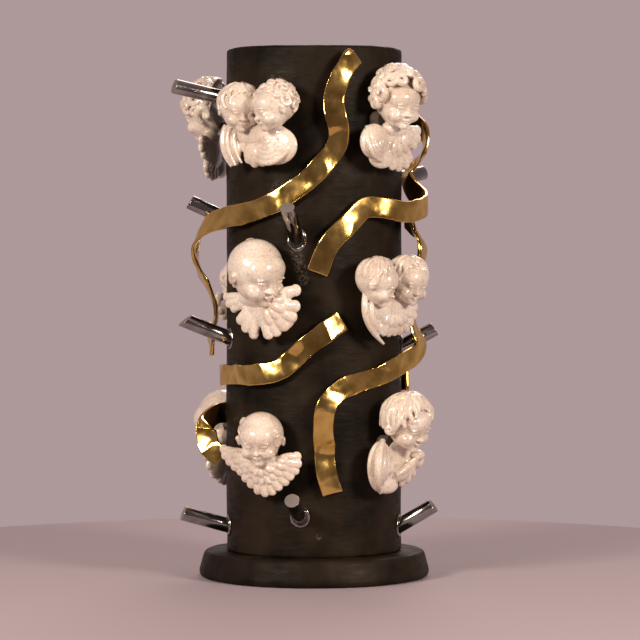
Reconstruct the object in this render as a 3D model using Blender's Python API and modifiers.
"""A clay tree of life: a hollow black clay trunk on a round plate, set with glazed
winged cherub heads on clay pegs, gold-lustre ribbons and platinum-lustre rods.

Units are metres, +Z is up, the front looks along -Y, and the origin is the middle
of the plate's underside. An azimuth is in degrees round the trunk from the front,
positive towards +X.
"""

import math

import bmesh
import bpy
from mathutils import Matrix, Vector

# Driving dimensions
PLATE_RADIUS = 0.1055
PLATE_TOP_RADIUS = 0.1015
PLATE_THICKNESS = 0.024
PLATE_TOP_ROUND = 0.004
PLATE_FOOT_ROUND = 0.005

TRUNK_RADIUS = 0.080
TRUNK_HEIGHT = 0.456
TRUNK_WALL = 0.010
RIM_ROUND = 0.0022

ROD_RADIUS = 0.0067
PEG_RADIUS = 0.0075
CHERUB_STAND_OFF = 0.010

RIBBON_WIDTH = 0.0185
RIBBON_THICKNESS = 0.003

CLEARANCE = 0.0003
TURNED_STEPS = 56
MASS_TURN = 11.0
RIBBON_STEPS = 3

# What fits follows from the sizes above.
TRUNK_FOOT = PLATE_THICKNESS + CLEARANCE
ROD_SEAT = 0.42 * TRUNK_WALL
PEG_SEAT = 0.60 * TRUNK_WALL
CHERUB_BACK = TRUNK_RADIUS + CHERUB_STAND_OFF

# Finishes: colour, roughness, metallic
FINISHES = {
    "black_clay": ((0.018, 0.012, 0.009), 0.48, 0.0),
    "crackle_glaze": ((0.80, 0.68, 0.58), 0.22, 0.0),
    "gold_lustre": ((0.62, 0.40, 0.11), 0.20, 1.0),
    "platinum_lustre": ((0.36, 0.36, 0.37), 0.18, 1.0),
    "stub_clay": ((0.10, 0.075, 0.06), 0.80, 0.0),
}

# Rods: azimuth, height up the trunk (share), slope in degrees, how far the tip stands
# from the trunk's axis less the trunk's radius, and the slant of the cut tip in degrees
RODS = {
    "rod_upper_left": (-70.0, 0.898, 12.0, 0.054, 6.0),
    "rod_upper_back_right": (121.0, 0.739, 12.0, 0.040, 6.0),
    "rod_high_left": (-84.0, 0.662, 25.0, 0.034, 6.0),
    "rod_high_front": (-11.0, 0.622, 33.0, 0.045, 20.0),
    "rod_high_back": (152.0, 0.672, 20.0, 0.042, 6.0),
    "rod_middle_left": (-73.0, 0.425, 22.0, 0.045, 30.0),
    "rod_middle_right": (94.0, 0.406, 28.0, 0.031, 6.0),
    "rod_middle_back": (145.0, 0.385, 14.0, 0.040, 6.0),
    "rod_foot_left": (-78.0, 0.051, 16.0, 0.042, 6.0),
    "rod_foot_front": (-9.0, 0.081, 23.0, 0.045, 12.0),
    "rod_foot_right": (76.0, 0.051, 31.0, 0.032, 6.0),
    "rod_foot_back": (165.0, 0.060, 24.0, 0.038, 6.0),
}

# The rounded masses of each kind of cherub, in millimetres on the piece itself:
# middle (right, up, out from the flat back), then half-sizes (right, up, out)
SINGLE_LEANING = (
    ((-1, 16, 12), (27, 31, 20)),
    ((18, -20, 6), (21, 21, 11)),
    ((-16, -26, 5), (17, 17, 9)),
    ((-29, -13, 4), (10, 12, 8)),
)
SINGLE_SPREAD = (
    ((3, 19, 12), (22, 21, 19)),
    ((-24, -3, 6), (18, 13, 8)),
    ((24, -8, 5), (17, 14, 9)),
    ((3, -16, 5), (22, 20, 9)),
)
SINGLE_CURLY = (
    ((5, 20, 12), (28, 27, 20)),
    ((-20, -22, 6), (18, 18, 11)),
    ((26, -17, 5), (16, 14, 10)),
    ((7, -22, 5), (20, 25, 9)),
)
SINGLE_RESTING = (
    ((4, 24, 12), (30, 25, 19)),
    ((-23, -19, 7), (18, 26, 12)),
    ((10, -14, 6), (23, 20, 11)),
)
PAIR = (
    ((-18, 14, 12), (20, 23, 18)),
    ((20, 15, 13), (21, 22, 18)),
    ((14, -19, 7), (25, 20, 12)),
    ((-25, -20, 6), (14, 20, 9)),
    ((-3, -11, 4), (17, 23, 8)),
)
PAIR_MIRRORED = tuple(((-x, z, out), half) for (x, z, out), half in PAIR)

# Cherubs: kind, azimuth, height of the middle up the trunk (share)
CHERUBS = {
    "cherub_upper_front_left": (PAIR, -30.0, 0.845),
    "cherub_upper_front_right": (SINGLE_CURLY, 44.0, 0.856),
    "cherub_upper_back_left": (SINGLE_CURLY, -110.0, 0.841),
    "cherub_upper_back": (SINGLE_SPREAD, 165.0, 0.842),
    "cherub_middle_front_left": (SINGLE_LEANING, -29.0, 0.523),
    "cherub_middle_front_right": (PAIR_MIRRORED, 43.0, 0.504),
    "cherub_middle_back_left": (SINGLE_SPREAD, -140.0, 0.501),
    "cherub_middle_back": (SINGLE_RESTING, 166.0, 0.530),
    "cherub_lower_front_left": (SINGLE_SPREAD, -29.5, 0.200),
    "cherub_lower_front_right": (SINGLE_RESTING, 50.0, 0.221),
    "cherub_lower_back_left": (SINGLE_LEANING, -124.0, 0.214),
    "cherub_lower_back": (PAIR, 165.0, 0.222),
}

# Ribbons: azimuth, height up the trunk (share), how far the middle of the band stands
# off the trunk in millimetres, and the azimuth that its outer face looks towards
RIBBONS = {
    "ribbon_crown": (
        (24, 0.980, 10, 30), (15, 0.941, 11, 20), (11, 0.893, 8, 12), (12.5, 0.855, 11, 5),
        (14.5, 0.822, 6, 10), (11, 0.789, 4, 8), (-1.5, 0.745, 6, -2), (-13.5, 0.715, 4, -14),
        (-25, 0.692, 6, -25), (-39, 0.675, 8, -40), (-58, 0.666, 10, -60),
        (-70, 0.654, 20, -84), (-79, 0.628, 27, -106), (-83, 0.599, 29, -104),
        (-86, 0.562, 25, -76), (-88, 0.528, 17, -74), (-89, 0.497, 11, -86),
        (-89, 0.472, 9.5, -92), (-89, 0.446, 11, -86), (-89, 0.420, 14, -76),
        (-91, 0.397, 13, -92),
    ),
    "ribbon_upper_right": (
        (2, 0.558, 4, 2), (7.5, 0.603, 7, 8), (13.5, 0.632, 9, 14), (22, 0.657, 8, 22),
        (30, 0.681, 6, 30), (37, 0.686, 7, 37), (47, 0.682, 12, 46), (60, 0.676, 18, 58),
        (76, 0.687, 24, 84), (89, 0.702, 19, 124), (98, 0.720, 11, 128), (104, 0.744, 8, 112),
        (105, 0.764, 12, 104), (102, 0.786, 20, 92), (101, 0.812, 25, 96), (104, 0.838, 24, 108),
        (112, 0.860, 18, 122), (124, 0.876, 10, 128), (138, 0.888, 5, 138),
    ),
    "ribbon_lower_right": (
        (89, 0.663, 4, 89), (81, 0.642, 11, 86), (78.5, 0.614, 20, 72), (78, 0.583, 20, 70),
        (80, 0.548, 14, 80), (82, 0.512, 11, 82), (81, 0.478, 10, 80), (78, 0.447, 13, 70),
        (76.5, 0.419, 19, 60), (73, 0.396, 18, 66), (64, 0.381, 12, 62), (54, 0.370, 9, 54),
        (43, 0.354, 6, 43), (30, 0.344, 4, 30), (17.5, 0.334, 8, 17), (9, 0.312, 12, 12),
        (6, 0.284, 12, 6), (5.5, 0.247, 8, 3), (6.5, 0.208, 4, 6), (7.5, 0.171, 6, 6),
        (11, 0.127, 5, 10),
    ),
    "ribbon_middle_left": (
        (17, 0.464, 4, 17), (5, 0.438, 8, 5), (-5, 0.411, 8, -5), (-13.5, 0.386, 4, -13),
        (-22, 0.367, 6, -22), (-34, 0.359, 8, -34), (-54, 0.355, 6, -54), (-72, 0.352, 6, -72),
        (-86, 0.350, 4, -86),
    ),
    "ribbon_lower_left": (
        (-101, 0.272, 3.5, 72), (-85, 0.273, 8, 60), (-78, 0.264, 16, 45), (-74, 0.250, 22, 20),
        (-71, 0.233, 23, 2), (-69, 0.215, 22, -6), (-66, 0.200, 18, -12), (-63, 0.188, 13, -20),
    ),
    "ribbon_lower_back": (
        (97, 0.339, 6, 92), (112, 0.334, 5, 112), (130, 0.328, 5, 130), (150, 0.322, 5, 150),
        (170, 0.314, 4, 170), (190, 0.308, 5, 190), (208, 0.303, 8, 208), (224, 0.300, 6, 224),
    ),
    "ribbon_high_back": (
        (238, 0.700, 4, 238), (224, 0.696, 8, 224), (211, 0.682, 11, 211), (202, 0.652, 9, 204),
        (199, 0.612, 5, 199), (200, 0.568, 7, 200), (200, 0.524, 5, 200), (197, 0.482, 7, 198),
        (190, 0.446, 7, 191), (180, 0.414, 6, 180), (170, 0.392, 4, 170),
    ),
}


def clear_scene():
    for obj in list(bpy.data.objects):
        bpy.data.objects.remove(obj, do_unlink=True)


def new_collection(name, hidden=False):
    collection = bpy.data.collections.new(name)
    bpy.context.scene.collection.children.link(collection)
    collection.hide_render = hidden
    return collection


def finish(name):
    """The material of this name, made the first time it is asked for."""
    if name in bpy.data.materials:
        return bpy.data.materials[name]
    colour, roughness, metallic = FINISHES[name]
    material = bpy.data.materials.new(name)
    material.use_nodes = True
    shader = material.node_tree.nodes["Principled BSDF"]
    shader.inputs["Base Color"].default_value = (*colour, 1.0)
    shader.inputs["Roughness"].default_value = roughness
    shader.inputs["Metallic"].default_value = metallic
    return material


def add_object(name, bm, collection, material=None):
    """Turns a bmesh into an object in a collection."""
    bmesh.ops.recalc_face_normals(bm, faces=bm.faces)
    mesh = bpy.data.meshes.new(name)
    bm.to_mesh(mesh)
    bm.free()
    obj = bpy.data.objects.new(name, mesh)
    collection.objects.link(obj)
    if material:
        mesh.materials.append(finish(material))
    return obj


def as_cutter(obj):
    obj.hide_render = True
    obj.display_type = "WIRE"
    return obj


def up_trunk(share):
    """The height of a point that is this share of the way up the trunk."""
    return TRUNK_FOOT + share * (TRUNK_HEIGHT - CLEARANCE)


def outward(azimuth):
    """The level direction straight out of the trunk at this azimuth."""
    turn = math.radians(azimuth)
    return Vector((math.sin(turn), -math.cos(turn), 0.0))


def sideways(azimuth):
    """The level direction to the right of someone who looks at the trunk there."""
    turn = math.radians(azimuth)
    return Vector((math.cos(turn), math.sin(turn), 0.0))


def arc(centre_x, centre_z, radius, start, end, steps):
    """Points along an arc in the X-Z plane, with angles in degrees from +X."""
    angles = [math.radians(start + (end - start) * i / steps) for i in range(steps + 1)]
    return [(centre_x + radius * math.cos(a), centre_z + radius * math.sin(a)) for a in angles]


def turned(name, profile, closed, collection, material):
    """A turned shape: the profile, top to bottom down its outer side, round the Z axis."""
    mesh = bpy.data.meshes.new(name)
    points = [(x, 0.0, z) for x, z in profile]
    edges = [(i, i + 1) for i in range(len(points) - 1)]
    if closed:
        edges.append((len(points) - 1, 0))
    mesh.from_pydata(points, edges, [])
    mesh.materials.append(finish(material))
    obj = bpy.data.objects.new(name, mesh)
    collection.objects.link(obj)
    screw = obj.modifiers.new("Turn", "SCREW")
    screw.steps = TURNED_STEPS
    screw.render_steps = TURNED_STEPS
    screw.use_merge_vertices = True
    screw.merge_threshold = 0.00001
    screw.use_smooth_shade = False
    return obj


def make_plate(collection):
    top = PLATE_THICKNESS
    profile = [(0.0, top)]
    profile += arc(
        PLATE_TOP_RADIUS - PLATE_TOP_ROUND, top - PLATE_TOP_ROUND, PLATE_TOP_ROUND, 90, 12, 3
    )
    profile += arc(
        PLATE_RADIUS - PLATE_FOOT_ROUND, PLATE_FOOT_ROUND, PLATE_FOOT_ROUND, 12, -90, 4
    )
    profile.append((0.0, 0.0))
    return turned("base_plate", profile, False, collection, "black_clay")


def make_trunk(collection):
    top = PLATE_THICKNESS + TRUNK_HEIGHT
    inner = TRUNK_RADIUS - TRUNK_WALL
    profile = arc(TRUNK_RADIUS - RIM_ROUND, top - RIM_ROUND, RIM_ROUND, 90, 0, 2)
    profile += [(TRUNK_RADIUS, TRUNK_FOOT), (inner, TRUNK_FOOT)]
    profile += arc(inner + RIM_ROUND, top - RIM_ROUND, RIM_ROUND, 180, 90, 2)
    return turned("trunk", profile, True, collection, "black_clay")


def rod_shape(azimuth, share, slope, reach, tip_slant, grow=0.0):
    """A round rod that rises out of the trunk's wall, its tip cut a little aslant."""
    direction = outward(azimuth) * math.cos(math.radians(slope))
    direction.z = math.sin(math.radians(slope))
    rise = math.tan(math.radians(slope))
    seat = -ROD_SEAT - grow
    start = outward(azimuth) * (TRUNK_RADIUS + seat)
    start.z = up_trunk(share) + seat * rise
    length = (reach - seat) / math.cos(math.radians(slope))
    radius = ROD_RADIUS + grow
    bm = bmesh.new()
    bmesh.ops.create_cone(
        bm, cap_ends=True, segments=18, radius1=radius, radius2=radius, depth=length
    )
    slant = math.tan(math.radians(tip_slant))
    for vertex in bm.verts:
        vertex.co.z += length / 2
        if vertex.co.z > length / 2:
            vertex.co.z -= slant * (radius + vertex.co.x)
    along = direction.to_track_quat("Z", "X").to_matrix().to_4x4()
    bmesh.ops.transform(bm, matrix=Matrix.Translation(start) @ along, verts=bm.verts)
    return bm


def peg_shape(azimuth, share, grow=0.0):
    """The short level stub between the trunk's wall and a cherub's back."""
    inner = TRUNK_RADIUS - PEG_SEAT - grow
    length = CHERUB_BACK - CLEARANCE - inner
    radius = PEG_RADIUS + grow
    bm = bmesh.new()
    bmesh.ops.create_cone(
        bm, cap_ends=True, segments=16, radius1=radius, radius2=radius, depth=length
    )
    middle = outward(azimuth) * (inner + length / 2)
    middle.z = up_trunk(share)
    along = outward(azimuth).to_track_quat("Z", "Y").to_matrix().to_4x4()
    bmesh.ops.transform(bm, matrix=Matrix.Translation(middle) @ along, verts=bm.verts)
    return bm


def make_cherub(name, kind, azimuth, share, collection, cutters):
    """Rounded masses for head and wings, joined, with a flat back towards the trunk."""
    frame = Matrix((sideways(azimuth), Vector((0, 0, 1)), outward(azimuth))).transposed()
    place = Matrix.Translation(outward(azimuth) * CHERUB_BACK + Vector((0, 0, up_trunk(share))))
    to_world = place @ frame.to_4x4()
    masses = []
    for number, (middle, half) in enumerate(kind):
        bm = bmesh.new()
        bmesh.ops.create_uvsphere(bm, u_segments=12, v_segments=8, radius=1.0)
        size = Matrix.Diagonal((half[0] / 1000, half[1] / 1000, half[2] / 1000, 1.0))
        shift = Matrix.Translation(Vector(middle) / 1000)
        turn = Matrix.Rotation(math.radians(MASS_TURN * number), 4, "Z")
        bmesh.ops.transform(bm, matrix=to_world @ shift @ size @ turn, verts=bm.verts)
        if number == 0:
            body = add_object(name, bm, collection, "crackle_glaze")
        else:
            masses.append(as_cutter(add_object(f"{name}_mass_{number}", bm, cutters)))
    for mass in masses:
        union = body.modifiers.new("Join " + mass.name, "BOOLEAN")
        union.operation = "UNION"
        union.solver = "EXACT"
        union.object = mass
    bm = bmesh.new()
    bmesh.ops.create_cube(bm, size=0.12)
    bmesh.ops.transform(
        bm, matrix=to_world @ Matrix.Translation((0, 0, -0.06)), verts=bm.verts
    )
    behind = as_cutter(add_object(name + "_behind", bm, cutters))
    flatten = body.modifiers.new("Flat back", "BOOLEAN")
    flatten.operation = "DIFFERENCE"
    flatten.solver = "EXACT"
    flatten.object = behind
    return body


def smooth_route(points):
    """Stations along a smooth curve through the points, RIBBON_STEPS to each stretch."""
    ends = [points[0]] + list(points) + [points[-1]]
    stations = []
    for i in range(1, len(ends) - 2):
        before, here, after, beyond = (Vector(ends[i + k]) for k in (-1, 0, 1, 2))
        for step in range(RIBBON_STEPS):
            t = step / RIBBON_STEPS
            stations.append(
                0.5 * (2 * here + t * (after - before)
                       + t * t * (2 * before - 5 * here + 4 * after - beyond)
                       + t ** 3 * (3 * here - before - 3 * after + beyond))
            )
    stations.append(Vector(points[-1]))
    return stations


def make_ribbon(name, route, collection):
    """A flat band along a route round the trunk, turned to face where the route says."""
    stations = smooth_route(route)
    middles = []
    for azimuth, share, stand_off, _ in stations:
        middle = outward(azimuth) * (TRUNK_RADIUS + stand_off / 1000)
        middle.z = up_trunk(share)
        middles.append(middle)
    bm = bmesh.new()
    rows = []
    last = len(stations) - 1
    for i, station in enumerate(stations):
        along = (middles[min(i + 1, last)] - middles[max(i - 1, 0)]).normalized()
        face = outward(station[3])
        across = along.cross(face).normalized() * (RIBBON_WIDTH / 2)
        rows.append([bm.verts.new(middles[i] + across), bm.verts.new(middles[i] - across)])
    for first, second in zip(rows, rows[1:]):
        bm.faces.new((first[0], first[1], second[1], second[0]))
    obj = add_object(name, bm, collection, "gold_lustre")
    band = obj.modifiers.new("Thickness", "SOLIDIFY")
    band.thickness = RIBBON_THICKNESS
    band.offset = 0.0
    return obj


def main():
    clear_scene()
    tree = new_collection("clay_tree_of_life")
    cutters = new_collection("cutters", hidden=True)
    sockets = new_collection("trunk_sockets", hidden=True)

    make_plate(tree)
    trunk = make_trunk(tree)

    for name, rod in RODS.items():
        add_object(name, rod_shape(*rod), tree, "platinum_lustre")
        as_cutter(add_object(name + "_socket", rod_shape(*rod, grow=CLEARANCE), sockets))

    for name, (kind, azimuth, share) in CHERUBS.items():
        make_cherub(name, kind, azimuth, share, tree, cutters)
        peg = name.replace("cherub", "peg")
        add_object(peg, peg_shape(azimuth, share), tree, "stub_clay")
        hole = peg_shape(azimuth, share, grow=CLEARANCE)
        as_cutter(add_object(peg + "_socket", hole, sockets))

    for name, route in RIBBONS.items():
        make_ribbon(name, route, tree)

    cut = trunk.modifiers.new("Sockets", "BOOLEAN")
    cut.operation = "DIFFERENCE"
    cut.solver = "EXACT"
    cut.operand_type = "COLLECTION"
    cut.collection = sockets


main()
